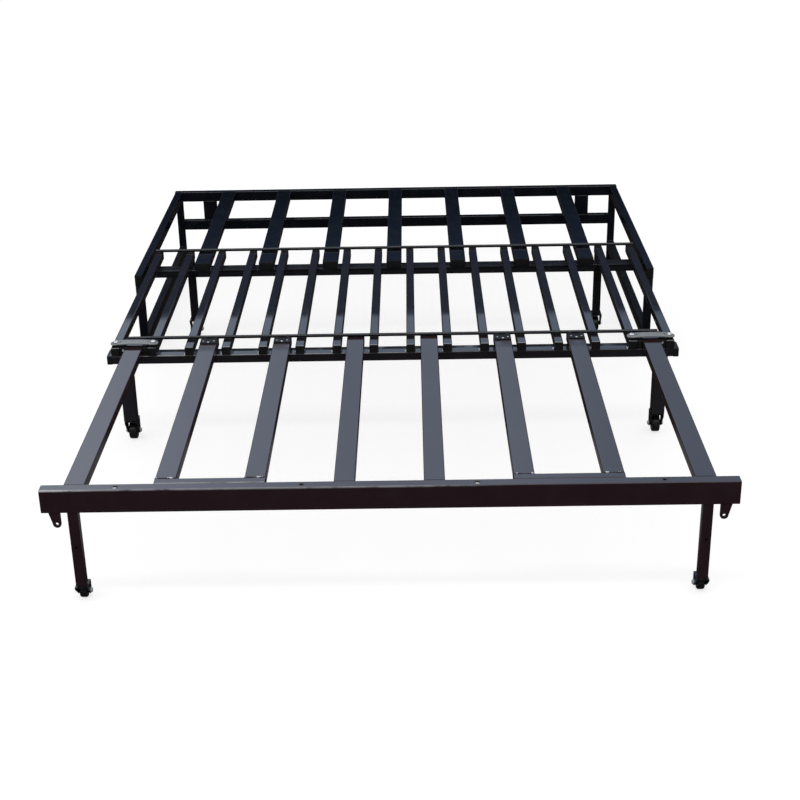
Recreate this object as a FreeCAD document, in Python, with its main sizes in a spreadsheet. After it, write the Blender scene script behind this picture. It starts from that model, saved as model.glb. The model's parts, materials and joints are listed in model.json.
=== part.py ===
import FreeCAD, Part
import Sketcher
import math
import os
import re

# Pull-out sofa bed frame, shown pulled out flat.
# Millimetres, +X to the right, +Y to the back, +Z up, origin on the floor under the middle.

doc = FreeCAD.newDocument("SofaBedFrame")

drivingSizes = [
    # whole frame
    ("BedLength", 1972, "front rail's face to the back rail's face"),
    ("DeckHeight", 246, "floor to the top of the slats"),
    ("RearWidth", 1352, "over the side rails"),
    ("RailInset", 19, "pull-out rails' ends inside the rear frame's width"),
    ("OuterSlatInset", 81, "rear frame's side to the outer front slat's middle"),
    ("RunGap", 0.3, "height gap between sliding sections"),
    # tubes
    ("TubeWall", 1.2, "steel wall"),
    ("TubeCorner", 2.0, "outer corner radius"),
    ("SlatHeight", 20, "all slats"),
    ("WideSlatWidth", 40, "front and rear slats"),
    ("NarrowSlatWidth", 20, "middle slats"),
    ("PlugDepth", 12, "end plugs in open tubes"),
    # front section
    ("FrontRailDepth", 25, "front rail tube"),
    ("FrontRailHeight", 48, "front rail tube"),
    ("FrontOverlap", 59, "front slats' rear ends behind the middle rail's face"),
    ("StripDepth", 20, "doubler strip behind the front rail"),
    ("FrontLegWidth", 20, "square leg tube"),
    ("FrontLegInset", 58, "front rail's end to the leg's middle"),
    ("LegHoleDiameter", 5, "cross hole in each front leg"),
    ("LegHoleHeight", 122, "cross hole above the floor"),
    ("OuterHoleInset", 142, "front rail's end to the outer screw holes"),
    ("InnerHoleSpacing", 330, "inner screw holes in the front rail"),
    ("RailHoleDiameter", 7, "screw holes in the front rail"),
    ("LugInset", 28, "front rail's end to the lug's eye"),
    ("LugThickness", 4, "lug plate"),
    ("LugWidth", 22, "lug at the rail"),
    ("LugDrop", 23, "rail's underside to the eye"),
    ("LugRadius", 8, "round end of the lug"),
    ("LugEyeDiameter", 6, "eye in the lug"),
    # rods
    ("RodDiameter", 5, "both cross rods"),
    ("FrontRodInset", 7, "front slats' ends to the rod's centre"),
    ("MiddleRodInset", 5, "middle slats' ends to the rod's centre"),
    ("BracketWidth", 38, "plate under the rod, side to side"),
    ("BracketFoot", 36, "plate in front of the rod's centre"),
    ("BracketPlate", 3, "plate under the rod, thickness"),
    # middle section
    ("MiddleSetback", 698, "front rail's face to the middle rail's face"),
    ("MiddleDepth", 687, "middle slats' length"),
    ("MiddleRailDepth", 40, "middle rail tube"),
    ("MiddleRailHeight", 20, "middle rail tube"),
    ("MiddleLegWidth", 30, "square leg tube"),
    ("MiddleLegInset", 37, "middle rail's end to the leg's middle"),
    ("RearLegWidth", 20, "square leg tube"),
    ("RearLegInset", 7, "middle slats' ends to the rear legs"),
    ("StrapInset", 20, "middle rail's face to the strap"),
    ("StrapWidth", 20, "front to back"),
    ("StrapPlate", 3, "strap's thickness"),
    ("StrapRise", 5, "arch over the front slat"),
    ("StrapSlope", 10, "run of each sloping part"),
    ("StrapSideRoom", 5, "arch beside the front slat"),
    # rear frame
    ("RearSetback", 1198, "front rail's face to the rear frame"),
    ("FrameTubeWidth", 20, "side and back rails, posts"),
    ("FrameTubeHeight", 30, "side and back rails"),
    ("PostDepth", 20, "posts front to back"),
    ("CrossRailInset", 90, "rear frame's front to the cross rail"),
    ("CrossRailDepth", 40, "cross rail tube"),
    ("CrossRailHeight", 20, "cross rail tube"),
    ("BackRailDrop", 90, "deck to the middle back rail's top"),
    ("UprightInset", 104, "rear frame's side to the upright's middle"),
    ("UprightWidth", 40, "back uprights"),
    ("LowerRailBase", 41, "floor to the lower side rails"),
    # casters, small ones in front and larger ones under the middle section
    ("FrontCasterHeight", 37, "floor to the front leg's end"),
    ("FrontCasterTrail", 14, "swivel axis to the axle"),
    ("FrontWheelDiameter", 29, "over the tread"),
    ("FrontTreadWidth", 15, "wheel's tread"),
    ("FrontHubWidth", 20, "wheel's hub"),
    ("CasterHeight", 58, "floor to the middle section's leg ends"),
    ("CasterTrail", 18, "swivel axis to the axle"),
    ("WheelDiameter", 42, "over the tread"),
    ("TreadWidth", 18, "wheel's tread"),
    ("HubWidth", 25, "wheel's hub"),
    ("TreadRound", 3, "edge of the tread"),
    ("RimDepth", 4.5, "tread to the web"),
    ("WebWidth", 10, "wheel between rim and hub"),
    ("HubDiameter", 12, "wheel's hub"),
    ("HubPlay", 0.5, "hub to the fork's cheek"),
    ("AxleDiameter", 6, "axle"),
    ("AxleClearance", 0.06, "wheel round its axle"),
    ("AxleReach", 3, "axle's ends outside the fork"),
    ("ForkPlate", 2, "fork's sheet"),
    ("CheekRadius", 7, "fork round the axle"),
    ("ForkFront", 11, "fork in front of the swivel axis"),
    ("ForkBack", 8, "fork's crown behind the axle"),
    ("CrownDepth", 5, "fork's front edge under the crown"),
    ("RacewayDiameter", 20, "bearing cup"),
    ("RacewayHeight", 3, "bearing cup"),
    ("StemDiameter", 10, "swivel stem"),
    ("StemLength", 22, "stem inside the leg"),
    ("StemClearance", 0.06, "stem in its socket"),
    ("SocketDepth", 26, "stem socket in the leg"),
]

# Eight wide slats in front, seven behind and sixteen narrow ones share one pitch.
derivedSizes = [
    ("SlatPitch", "(RearWidth - 2 * OuterSlatInset) / 7", "between wide slats of one section"),
    ("FrontSectionDepth", "MiddleSetback + FrontOverlap", "front rail's face to the slats' rear ends"),
    ("RailSpan", "RearWidth - 2 * RailInset", "length of the two pull-out rails"),
    ("FrontLegSpacing", "RailSpan - 2 * FrontLegInset", "between the front legs"),
    ("MiddleLegSpacing", "RailSpan - 2 * MiddleLegInset", "between the middle section's front legs"),
    ("RearLegSpacing", "13 * SlatPitch / 2", "between the middle section's rear legs"),
    ("LugSpacing", "RailSpan - 2 * LugInset", "between the lugs' eyes"),
    ("OuterHoleSpacing", "RailSpan - 2 * OuterHoleInset", "between the outer screw holes"),
    ("UprightSpacing", "RearWidth - 2 * UprightInset", "between the back uprights"),
]

sheet = doc.addObject("Spreadsheet::Sheet", "Dims")
allSizes = drivingSizes + [(alias, f"={text}", note) for alias, text, note in derivedSizes]
for row, (alias, content, note) in enumerate(allSizes, start=1):
    sheet.set(f"A{row}", note)
    sheet.set(f"B{row}", str(content))
    sheet.setAlias(f"B{row}", alias)
doc.recompute()

# Places shared by several pieces, as formulas on the sheet.
frontFace = "-BedLength / 2"
middleFace = "MiddleSetback - BedLength / 2"
middleEnd = "MiddleSetback + MiddleDepth - BedLength / 2"
rearFace = "RearSetback - BedLength / 2"
crossFace = "RearSetback + CrossRailInset - BedLength / 2"
frontSlatEnd = "FrontSectionDepth - BedLength / 2"
narrowMid = "DeckHeight - SlatHeight / 2"
frontSlatMid = "DeckHeight + RunGap - SlatHeight / 2"
rearSlatMid = "DeckHeight - RunGap - SlatHeight / 2"
frameRailMid = "DeckHeight - FrameTubeHeight / 2"
sideCentre = "(RearWidth - FrameTubeWidth) / 2"
frontRailMid = "DeckHeight + RunGap - FrontRailHeight / 2"
frontRailBase = "DeckHeight + RunGap - FrontRailHeight"
middleRailBase = "DeckHeight - SlatHeight - MiddleRailHeight"
frontRodPlace = "FrontSectionDepth - FrontRodInset - BedLength / 2"
rearLegPlace = "MiddleSetback + MiddleDepth - RearLegInset - RearLegWidth / 2 - BedLength / 2"
railCentre = "FrontRailDepth / 2 - BedLength / 2"
middleRailCentre = "MiddleSetback + MiddleRailDepth / 2 - BedLength / 2"

subParts = []


def formula(text):
    return re.sub(r"[A-Z][A-Za-z]+", r"Dims.\g<0>", text)


def bind(thing, prop, text):
    thing.setExpression(prop, formula(text))


def newBody(label, place):
    body = doc.addObject("PartDesign::Body", label)
    body.Label = label
    body.AllowCompound = True
    for axis, text in zip("xyz", place):
        bind(body, f"Placement.Base.{axis}", text)
    subParts.append(body)
    return body


def originFeature(body, role):
    return next(item for item in body.Origin.OriginFeatures if item.Role == role)


def newSketch(body, plane, height=None):
    sketch = body.newObject("Sketcher::SketchObject", "Sketch")
    sketch.AttachmentSupport = [(originFeature(body, plane), "")]
    sketch.MapMode = "FlatFace"
    if height is not None:
        bind(sketch, "AttachmentOffset.Base.z", height)
    return sketch


def setSize(sketch, kind, text, *points):
    index = sketch.addConstraint(Sketcher.Constraint(kind, *points, 1.0))
    bind(sketch, f"Constraints[{index}]", text)


def value(text):
    return float(doc.Dims.evalExpression(text))


def addRectangle(sketch, width, depth):
    # A rectangle centred on the sketch's origin.
    halfWide = value(width) / 2
    halfDeep = value(depth) / 2
    signs = [(-1, -1), (1, -1), (1, 1), (-1, 1)]
    corners = [FreeCAD.Vector(a * halfWide, b * halfDeep, 0) for a, b in signs]
    sides = []
    for i in range(4):
        side = Part.LineSegment(corners[i], corners[(i + 1) % 4])
        sides.append(sketch.addGeometry(side, False))
    for i in range(4):
        sketch.addConstraint(Sketcher.Constraint("Coincident", sides[i], 2, sides[(i + 1) % 4], 1))
        sketch.addConstraint(Sketcher.Constraint("Vertical" if i % 2 else "Horizontal", sides[i]))
    sketch.addConstraint(Sketcher.Constraint("Symmetric", sides[0], 1, sides[2], 1, -1, 1))
    setSize(sketch, "DistanceX", width, sides[0], 1, sides[0], 2)
    setSize(sketch, "DistanceY", depth, sides[1], 1, sides[1], 2)


def addRoundedRectangle(sketch, width, depth, corner):
    # Four sides and four tangent corner arcs, centred on the sketch's origin.
    reachX = value(width) / 2 - value(corner)
    reachY = value(depth) / 2 - value(corner)
    radius = value(corner)
    signs = [(1, -1), (1, 1), (-1, 1), (-1, -1)]
    centres = [FreeCAD.Vector(a * reachX, b * reachY, 0) for a, b in signs]
    outward = [FreeCAD.Vector(a, b, 0) for a, b in [(0, -1), (1, 0), (0, 1), (-1, 0)]]
    up = FreeCAD.Vector(0, 0, 1)
    quarter = math.pi / 2
    sides = []
    arcs = []
    for i in range(4):
        start = centres[i - 1] + outward[i] * radius
        end = centres[i] + outward[i] * radius
        sides.append(sketch.addGeometry(Part.LineSegment(start, end), False))
        circle = Part.Circle(centres[i], up, radius)
        turn = (i - 1) * quarter
        arcs.append(sketch.addGeometry(Part.ArcOfCircle(circle, turn, turn + quarter), False))
    for i in range(4):
        sketch.addConstraint(Sketcher.Constraint("Tangent", sides[i], 2, arcs[i], 1))
        sketch.addConstraint(Sketcher.Constraint("Tangent", arcs[i], 2, sides[(i + 1) % 4], 1))
        sketch.addConstraint(Sketcher.Constraint("Vertical" if i % 2 else "Horizontal", sides[i]))
        if i:
            sketch.addConstraint(Sketcher.Constraint("Equal", arcs[0], arcs[i]))
    sketch.addConstraint(Sketcher.Constraint("Symmetric", sides[0], 1, sides[2], 1, -1, 1))
    setSize(sketch, "Radius", corner, arcs[0])
    setSize(sketch, "DistanceX", f"{width} - 2 * {corner}", sides[0], 1, sides[0], 2)
    setSize(sketch, "DistanceY", f"{depth} - 2 * {corner}", sides[1], 1, sides[1], 2)


def addOutline(sketch, points):
    # A closed outline of straight lines whose corners are formulas on the sheet.
    corners = [FreeCAD.Vector(value(x), value(y), 0) for x, y in points]
    count = len(points)
    lines = []
    for i in range(count):
        line = Part.LineSegment(corners[i], corners[(i + 1) % count])
        lines.append(sketch.addGeometry(line, False))
    for i in range(count):
        sketch.addConstraint(Sketcher.Constraint("Coincident", lines[i], 2, lines[(i + 1) % count], 1))
    for line, (x, y) in zip(lines, points):
        setSize(sketch, "DistanceX", x, -1, 1, line, 1)
        setSize(sketch, "DistanceY", y, -1, 1, line, 1)


def addCircle(sketch, diameter, x="0", y="0"):
    centre = FreeCAD.Vector(value(x), value(y), 0)
    outline = Part.Circle(centre, FreeCAD.Vector(0, 0, 1), value(diameter) / 2)
    circle = sketch.addGeometry(outline, False)
    setSize(sketch, "DistanceX", x, -1, 1, circle, 3)
    setSize(sketch, "DistanceY", y, -1, 1, circle, 3)
    setSize(sketch, "Diameter", diameter, circle)


def extrude(body, sketch, length, kind="Pad", midplane=False, reversed=False):
    feature = body.newObject(f"PartDesign::{kind}", kind)
    feature.Profile = sketch
    feature.Midplane = midplane
    feature.Reversed = reversed
    bind(feature, "Length", length)
    body.Tip = feature
    return feature


def revolve(body, sketch, axis):
    feature = body.newObject("PartDesign::Revolution", "Revolution")
    feature.Profile = sketch
    feature.ReferenceAxis = (sketch, [axis])
    feature.Angle = 360
    body.Tip = feature
    return feature


def repeat(body, features, axes):
    # Copies along one or two of the body's axes: (axis, how many as text, spacing) for each.
    pattern = body.newObject("PartDesign::LinearPattern", "Pattern")
    pattern.Originals = features
    for suffix, (axis, count, spacing) in zip(["", "2"], axes):
        setattr(pattern, f"Direction{suffix}", (originFeature(body, f"{axis}_Axis"), [""]))
        bind(pattern, f"Occurrences{suffix}", count)
        bind(pattern, f"Length{suffix}", f"({count} - 1) * ({spacing})")
    body.Tip = pattern
    return pattern


tubePlanes = {"X": "YZ_Plane", "Y": "XZ_Plane", "Z": "XY_Plane"}


def makeTube(label, run, width, depth, length, place, copies=None, midplane=False):
    # A rounded steel tube that runs along one axis; place is the centre of its first end.
    body = newBody(label, place)
    sketch = newSketch(body, tubePlanes[run])
    addRoundedRectangle(sketch, width, depth, "TubeCorner")
    addRectangle(sketch, f"({width} - 2 * TubeWall)", f"({depth} - 2 * TubeWall)")
    tube = extrude(body, sketch, length, midplane=midplane, reversed=run == "Y")
    if copies:
        repeat(body, [tube], copies)
    return body


def makePlugs(label, run, width, depth, place, copies, bore=None, length="PlugDepth"):
    # Blocks that fill the ends of a tube, flush with them; a bore takes a caster's stem.
    body = newBody(label, place)
    sketch = newSketch(body, tubePlanes[run])
    addRectangle(sketch, f"({width} - 2 * TubeWall)", f"({depth} - 2 * TubeWall)")
    if bore:
        addCircle(sketch, bore)
    plug = extrude(body, sketch, length, reversed=run == "Y")
    repeat(body, [plug], copies)
    return body


def makeRod(label, length, place):
    body = newBody(label, place)
    sketch = newSketch(body, "YZ_Plane")
    addCircle(sketch, "RodDiameter")
    extrude(body, sketch, length, midplane=True)


# Rear frame: a box of tubes that stands on four posts.

frameInner = "RearWidth - 2 * FrameTubeWidth"
sidePair = ("X", "2", "RearWidth - FrameTubeWidth")
sideLength = "BedLength - RearSetback - FrameTubeWidth"
backCentre = "BedLength / 2 - FrameTubeWidth / 2"
rearSlatLength = "BedLength - RearSetback - CrossRailInset - FrameTubeWidth"

makeTube("back_top_rail", "X", "FrameTubeWidth", "FrameTubeHeight", "RearWidth",
         ("0", backCentre, frameRailMid), midplane=True)
makePlugs("back_rail_plugs", "X", "FrameTubeWidth", "FrameTubeHeight",
          ("-RearWidth / 2", backCentre, frameRailMid), [("X", "2", "RearWidth - PlugDepth")])
makeTube("back_middle_rail", "X", "FrameTubeWidth", "FrameTubeHeight", frameInner,
         ("0", backCentre, "DeckHeight - BackRailDrop - FrameTubeHeight / 2"), midplane=True)
makeTube("back_uprights", "Z", "UprightWidth", "FrameTubeWidth", "BackRailDrop - FrameTubeHeight",
         ("-UprightSpacing / 2", backCentre, "DeckHeight - BackRailDrop"), [("X", "2", "UprightSpacing")])
makeTube("top_side_rails", "Y", "FrameTubeWidth", "FrameTubeHeight", sideLength,
         (f"-{sideCentre}", rearFace, frameRailMid), [sidePair])
makePlugs("side_rail_plugs", "Y", "FrameTubeWidth", "FrameTubeHeight",
          (f"-{sideCentre}", rearFace, frameRailMid), [sidePair])
postRow = ("Y", "2", "BedLength - RearSetback - PostDepth")
postPlace = (f"-{sideCentre}", f"{rearFace} + PostDepth / 2", "0")
makeTube("corner_posts", "Z", "FrameTubeWidth", "PostDepth", "DeckHeight - FrameTubeHeight", postPlace,
         [sidePair, postRow])
makePlugs("post_feet", "Z", "FrameTubeWidth", "PostDepth", postPlace, [sidePair, postRow])
makeTube("lower_side_rails", "Y", "FrameTubeWidth", "FrameTubeHeight",
         "BedLength - RearSetback - 2 * PostDepth",
         (f"-{sideCentre}", f"{rearFace} + PostDepth", "LowerRailBase + FrameTubeHeight / 2"), [sidePair])
makeTube("cross_rail", "X", "CrossRailDepth", "CrossRailHeight", frameInner,
         ("0", f"{crossFace} + CrossRailDepth / 2", "DeckHeight - RunGap - SlatHeight - CrossRailHeight / 2"),
         midplane=True)
rearSlatRow = ("X", "7", "SlatPitch")
makeTube("rear_slats", "Y", "WideSlatWidth", "SlatHeight", rearSlatLength,
         ("-3 * SlatPitch", crossFace, rearSlatMid), [rearSlatRow])
makePlugs("rear_slat_plugs", "Y", "WideSlatWidth", "SlatHeight",
          ("-3 * SlatPitch", crossFace, rearSlatMid), [rearSlatRow])

# Middle section: narrow slats on a flat rail, with its own legs at both ends.

narrowPlace = ("-15 * SlatPitch / 4", middleFace, narrowMid)
narrowRow = ("X", "16", "SlatPitch / 2")
middleRailMid = "DeckHeight - SlatHeight - MiddleRailHeight / 2"
makeTube("narrow_slats", "Y", "NarrowSlatWidth", "SlatHeight", "MiddleDepth", narrowPlace, [narrowRow])
makePlugs("narrow_slat_plugs", "Y", "NarrowSlatWidth", "SlatHeight", narrowPlace,
          [narrowRow, ("Y", "2", "MiddleDepth - PlugDepth")])
makeTube("middle_rail", "X", "MiddleRailDepth", "MiddleRailHeight", "RailSpan",
         ("0", middleRailCentre, middleRailMid), midplane=True)
makePlugs("middle_rail_plugs", "X", "MiddleRailDepth", "MiddleRailHeight",
          ("-RailSpan / 2", middleRailCentre, middleRailMid), [("X", "2", "RailSpan - PlugDepth")])
makeRod("middle_rod", "15 * SlatPitch / 2 + NarrowSlatWidth",
        ("0", f"{middleEnd} - MiddleRodInset", "DeckHeight + RodDiameter / 2"))

socketBore = "StemDiameter + 2 * StemClearance"


def makeLegs(label, width, spacing, y, top, base="CasterHeight"):
    place = (f"-{spacing} / 2", y, base)
    pair = ("X", "2", spacing)
    legs = makeTube(f"{label}_legs", "Z", width, width, f"{top} - {base}", place, [pair])
    makePlugs(f"{label}_leg_sockets", "Z", width, width, place, [pair], socketBore, "SocketDepth")
    return legs


makeLegs("middle_front", "MiddleLegWidth", "MiddleLegSpacing", middleRailCentre, middleRailBase)
makeLegs("middle_rear", "RearLegWidth", "RearLegSpacing", rearLegPlace, "DeckHeight - SlatHeight")


def makeStrap(label, side):
    # A bent strap from one narrow slat to the next, arched over the front slat between them.
    half = "(SlatPitch / 4 + NarrowSlatWidth / 2)"
    arch = "(WideSlatWidth / 2 + StrapSideRoom)"
    slope = "sqrt(StrapSlope * StrapSlope + StrapRise * StrapRise)"
    bend = f"StrapPlate * ({slope} - StrapSlope) / StrapRise"
    under = [(f"-{half}", "0"), (f"-{arch} - StrapSlope", "0"), (f"-{arch}", "StrapRise"),
             (arch, "StrapRise"), (f"{arch} + StrapSlope", "0"), (half, "0")]
    over = [(half, "StrapPlate"), (f"{arch} + StrapSlope + {bend}", "StrapPlate"),
            (f"{arch} + {bend}", "StrapRise + StrapPlate"),
            (f"-{arch} - {bend}", "StrapRise + StrapPlate"),
            (f"-{arch} - StrapSlope - {bend}", "StrapPlate"), (f"-{half}", "StrapPlate")]
    body = newBody(label, (f"{side} * 7 * SlatPitch / 2", f"{middleFace} + StrapInset", "DeckHeight"))
    sketch = newSketch(body, "XZ_Plane")
    addOutline(sketch, under + over)
    extrude(body, sketch, "StrapWidth", reversed=True)


makeStrap("bridge_strap_left", "-1")
makeStrap("bridge_strap_right", "1")

# Front section: wide slats behind the front rail, which slide between the narrow ones.

frontRailPlace = ("0", railCentre, frontRailMid)
frontRail = makeTube("front_rail", "X", "FrontRailDepth", "FrontRailHeight", "RailSpan", frontRailPlace,
                     midplane=True)
holes = newSketch(frontRail, "XY_Plane", "FrontRailHeight / 2")
for spacing in ["OuterHoleSpacing", "InnerHoleSpacing"]:
    for side in ["-", ""]:
        addCircle(holes, "RailHoleDiameter", f"{side}{spacing} / 2")
extrude(frontRail, holes, "2 * TubeWall", "Pocket")
makePlugs("front_rail_plugs", "X", "FrontRailDepth", "FrontRailHeight",
          ("-RailSpan / 2", railCentre, frontRailMid), [("X", "2", "RailSpan - PlugDepth")])
wideSpan = ("X", "2", "4 * SlatPitch")
longPairs = [("X", "2", "3 * SlatPitch"), wideSpan]
shortPairs = [("X", "2", "SlatPitch"), wideSpan]
makeTube("long_front_slats", "Y", "WideSlatWidth", "SlatHeight", "FrontSectionDepth - FrontRailDepth",
         ("-7 * SlatPitch / 2", f"{frontFace} + FrontRailDepth", frontSlatMid), longPairs)
makeTube("short_front_slats", "Y", "WideSlatWidth", "SlatHeight",
         "FrontSectionDepth - FrontRailDepth - StripDepth",
         ("-5 * SlatPitch / 2", f"{frontFace} + FrontRailDepth + StripDepth", frontSlatMid), shortPairs)
makePlugs("front_slat_plugs", "Y", "WideSlatWidth", "SlatHeight",
          ("-7 * SlatPitch / 2", f"{frontSlatEnd} - PlugDepth", frontSlatMid), [("X", "8", "SlatPitch")])
stripPlace = ("-5 * SlatPitch / 2 - WideSlatWidth / 2", f"{frontFace} + FrontRailDepth + StripDepth / 2",
              frontSlatMid)
makeTube("rail_strips", "X", "StripDepth", "SlatHeight", "SlatPitch + WideSlatWidth", stripPlace, [wideSpan])
makeRod("front_rod", "7 * SlatPitch + WideSlatWidth",
        ("0", frontRodPlace, "DeckHeight + RunGap + BracketPlate + RodDiameter / 2"))
frontLegs = makeLegs("front", "FrontLegWidth", "FrontLegSpacing", railCentre, frontRailBase,
                     "FrontCasterHeight")


def drillLegs(body):
    # A hole through each front leg, front to back.
    sketch = newSketch(body, "XZ_Plane")
    for x in ["0", "FrontLegSpacing"]:
        addCircle(sketch, "LegHoleDiameter", x, "LegHoleHeight - FrontCasterHeight")
    extrude(body, sketch, "2 * FrontLegWidth", "Pocket", midplane=True)


drillLegs(frontLegs)


def makeBrackets():
    # A plate on the slat's rear end, with the rod across it.
    body = newBody("rod_brackets", ("-5 * SlatPitch / 2", frontRodPlace, "DeckHeight + RunGap"))
    sketch = newSketch(body, "YZ_Plane")
    addOutline(sketch, [("-BracketFoot", "0"), ("FrontRodInset", "0"), ("FrontRodInset", "BracketPlate"),
                        ("-BracketFoot", "BracketPlate")])
    repeat(body, [extrude(body, sketch, "BracketWidth", midplane=True)], shortPairs)


makeBrackets()


def makeLugs():
    # Plates under the ends of the front rail: straight inside, slanted outside, round at the eye.
    body = newBody("rail_lugs", ("0", frontFace, frontRailBase))
    inner = "LugSpacing / 2 - LugRadius"
    plate = newSketch(body, "XZ_Plane")
    addOutline(plate, [(inner, "0"), (inner, "-LugDrop"), (f"{inner} + 2 * LugRadius", "-LugDrop"),
                       (f"{inner} + LugWidth", "0")])
    features = [extrude(body, plate, "LugThickness", reversed=True)]
    end = newSketch(body, "XZ_Plane")
    addCircle(end, "2 * LugRadius", "LugSpacing / 2", "-LugDrop")
    features.append(extrude(body, end, "LugThickness", reversed=True))
    eye = newSketch(body, "XZ_Plane")
    addCircle(eye, "LugEyeDiameter", "LugSpacing / 2", "-LugDrop")
    features.append(extrude(body, eye, "3 * LugThickness", "Pocket", midplane=True))
    mirror = body.newObject("PartDesign::Mirrored", "Mirrored")
    mirror.Originals = features
    mirror.MirrorPlane = (originFeature(body, "YZ_Plane"), [""])
    body.Tip = mirror


makeLugs()

# Casters: a swivel fork with its axle, and a wheel, under each leg.


def makeFork(label, kind, x, y):
    # Stem and bearing cup on the swivel axis, a bent sheet fork and its axle behind that axis.
    trail = f"{kind}CasterTrail"
    wheel = f"{kind}WheelDiameter"
    crown = "-RacewayHeight - RunGap"
    drop = f"-({kind}CasterHeight - {wheel} / 2)"
    forkWidth = f"{kind}HubWidth + 2 * HubPlay + 2 * ForkPlate"
    body = newBody(label, (x, y, f"{kind}CasterHeight"))
    stem = newSketch(body, "XZ_Plane")
    addOutline(stem, [("0", "StemLength"), ("0", crown), ("RacewayDiameter / 2", crown),
                      ("RacewayDiameter / 2", "-RunGap"), ("StemDiameter / 2", "-RunGap"),
                      ("StemDiameter / 2", "StemLength")])
    revolve(body, stem, "V_Axis")
    cheek = newSketch(body, "YZ_Plane")
    addOutline(cheek, [("-ForkFront", crown), ("-ForkFront", f"{crown} - CrownDepth"),
                       (f"{trail} - CheekRadius", drop), (f"{trail} + CheekRadius", drop),
                       (f"{trail} + ForkBack", crown)])
    extrude(body, cheek, forkWidth, midplane=True)
    boss = newSketch(body, "YZ_Plane")
    addCircle(boss, "2 * CheekRadius", trail, drop)
    extrude(body, boss, forkWidth, midplane=True)
    room = newSketch(body, "YZ_Plane")
    roomTop = f"{crown} - ForkPlate"
    roomBase = f"{drop} - {wheel}"
    addOutline(room, [(f"-{wheel}", roomTop), (f"-{wheel}", roomBase),
                      (f"{trail} + {wheel}", roomBase), (f"{trail} + {wheel}", roomTop)])
    extrude(body, room, f"{kind}HubWidth + 2 * HubPlay", "Pocket", midplane=True)
    axle = newSketch(body, "YZ_Plane")
    addCircle(axle, "AxleDiameter", trail, drop)
    extrude(body, axle, f"{forkWidth} + 2 * AxleReach", midplane=True)


def makeWheel(label, kind, x, y):
    # Tread, thinner web and long hub, turned round the axle.
    top = f"{kind}WheelDiameter / 2"
    rim = f"{top} - RimDepth"
    bore = "AxleDiameter / 2 + AxleClearance"
    hubSide = f"{kind}HubWidth / 2"
    treadSide = f"{kind}TreadWidth / 2"
    half = [(hubSide, bore), (hubSide, "HubDiameter / 2"), ("WebWidth / 2", "HubDiameter / 2"),
            ("WebWidth / 2", rim), (treadSide, rim), (treadSide, f"{top} - TreadRound"),
            (f"{treadSide} - TreadRound", top)]
    body = newBody(label, (x, f"{y} + {kind}CasterTrail", top))
    profile = newSketch(body, "XZ_Plane")
    addOutline(profile, half + [(f"-({across})", out) for across, out in reversed(half)])
    revolve(body, profile, "H_Axis")


casterRows = [("front", "Front", "FrontLegSpacing / 2", railCentre),
              ("middle", "", "MiddleLegSpacing / 2", middleRailCentre),
              ("rear", "", "RearLegSpacing / 2", rearLegPlace)]
for row, kind, x, y in casterRows:
    for side, sign in [("left", "-"), ("right", "")]:
        makeFork(f"{row}_{side}_fork", kind, f"{sign}{x}", y)
        makeWheel(f"{row}_{side}_wheel", kind, f"{sign}{x}", y)

doc.recompute()

failed = [item.Name for item in doc.Objects if "Invalid" in item.State or "Error" in item.State]
if failed:
    raise RuntimeError(f"not built: {failed}")
for part in subParts:
    if part.Shape.isNull() or not part.Shape.isValid():
        raise RuntimeError(f"bad shape: {part.Label}")

os.makedirs("parts", exist_ok=True)
for part in subParts:
    part.Shape.exportStep(f"parts/{part.Label}.step")
    print(part.Label, len(part.Shape.Solids), round(part.Shape.Volume))
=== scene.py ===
import json
import math
import bpy
import numpy as np
from mathutils import Matrix, Vector


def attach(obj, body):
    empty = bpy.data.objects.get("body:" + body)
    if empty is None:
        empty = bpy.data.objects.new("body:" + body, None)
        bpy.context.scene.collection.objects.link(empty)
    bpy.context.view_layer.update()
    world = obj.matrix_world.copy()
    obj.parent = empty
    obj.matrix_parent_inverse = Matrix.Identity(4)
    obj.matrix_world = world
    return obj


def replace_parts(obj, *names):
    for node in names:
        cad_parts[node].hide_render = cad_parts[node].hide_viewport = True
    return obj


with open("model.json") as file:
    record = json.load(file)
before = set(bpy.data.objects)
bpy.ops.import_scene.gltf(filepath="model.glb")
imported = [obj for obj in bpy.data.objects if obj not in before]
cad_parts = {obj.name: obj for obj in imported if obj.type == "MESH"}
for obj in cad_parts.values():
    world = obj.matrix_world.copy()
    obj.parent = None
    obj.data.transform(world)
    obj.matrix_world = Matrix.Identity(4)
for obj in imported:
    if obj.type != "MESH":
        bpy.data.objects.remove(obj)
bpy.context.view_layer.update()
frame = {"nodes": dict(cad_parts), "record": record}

print("frame loaded:", len(frame["nodes"]), "nodes")

mm = 0.001
fullTurn = 2 * math.pi
# heights and places of the deck in millimetres
deck = 246.0
frontTop = deck + 0.3
plateTop = frontTop + 3
pitch = 170
frontSlats = (np.arange(8) - 3.5) * pitch
longSlats, shortSlats = frontSlats[[0, 3, 4, 7]], frontSlats[[1, 2, 5, 6]]
narrowSlats = (np.arange(16) - 7.5) * pitch / 2
rearSlats = (np.arange(7) - 3) * pitch


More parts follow.
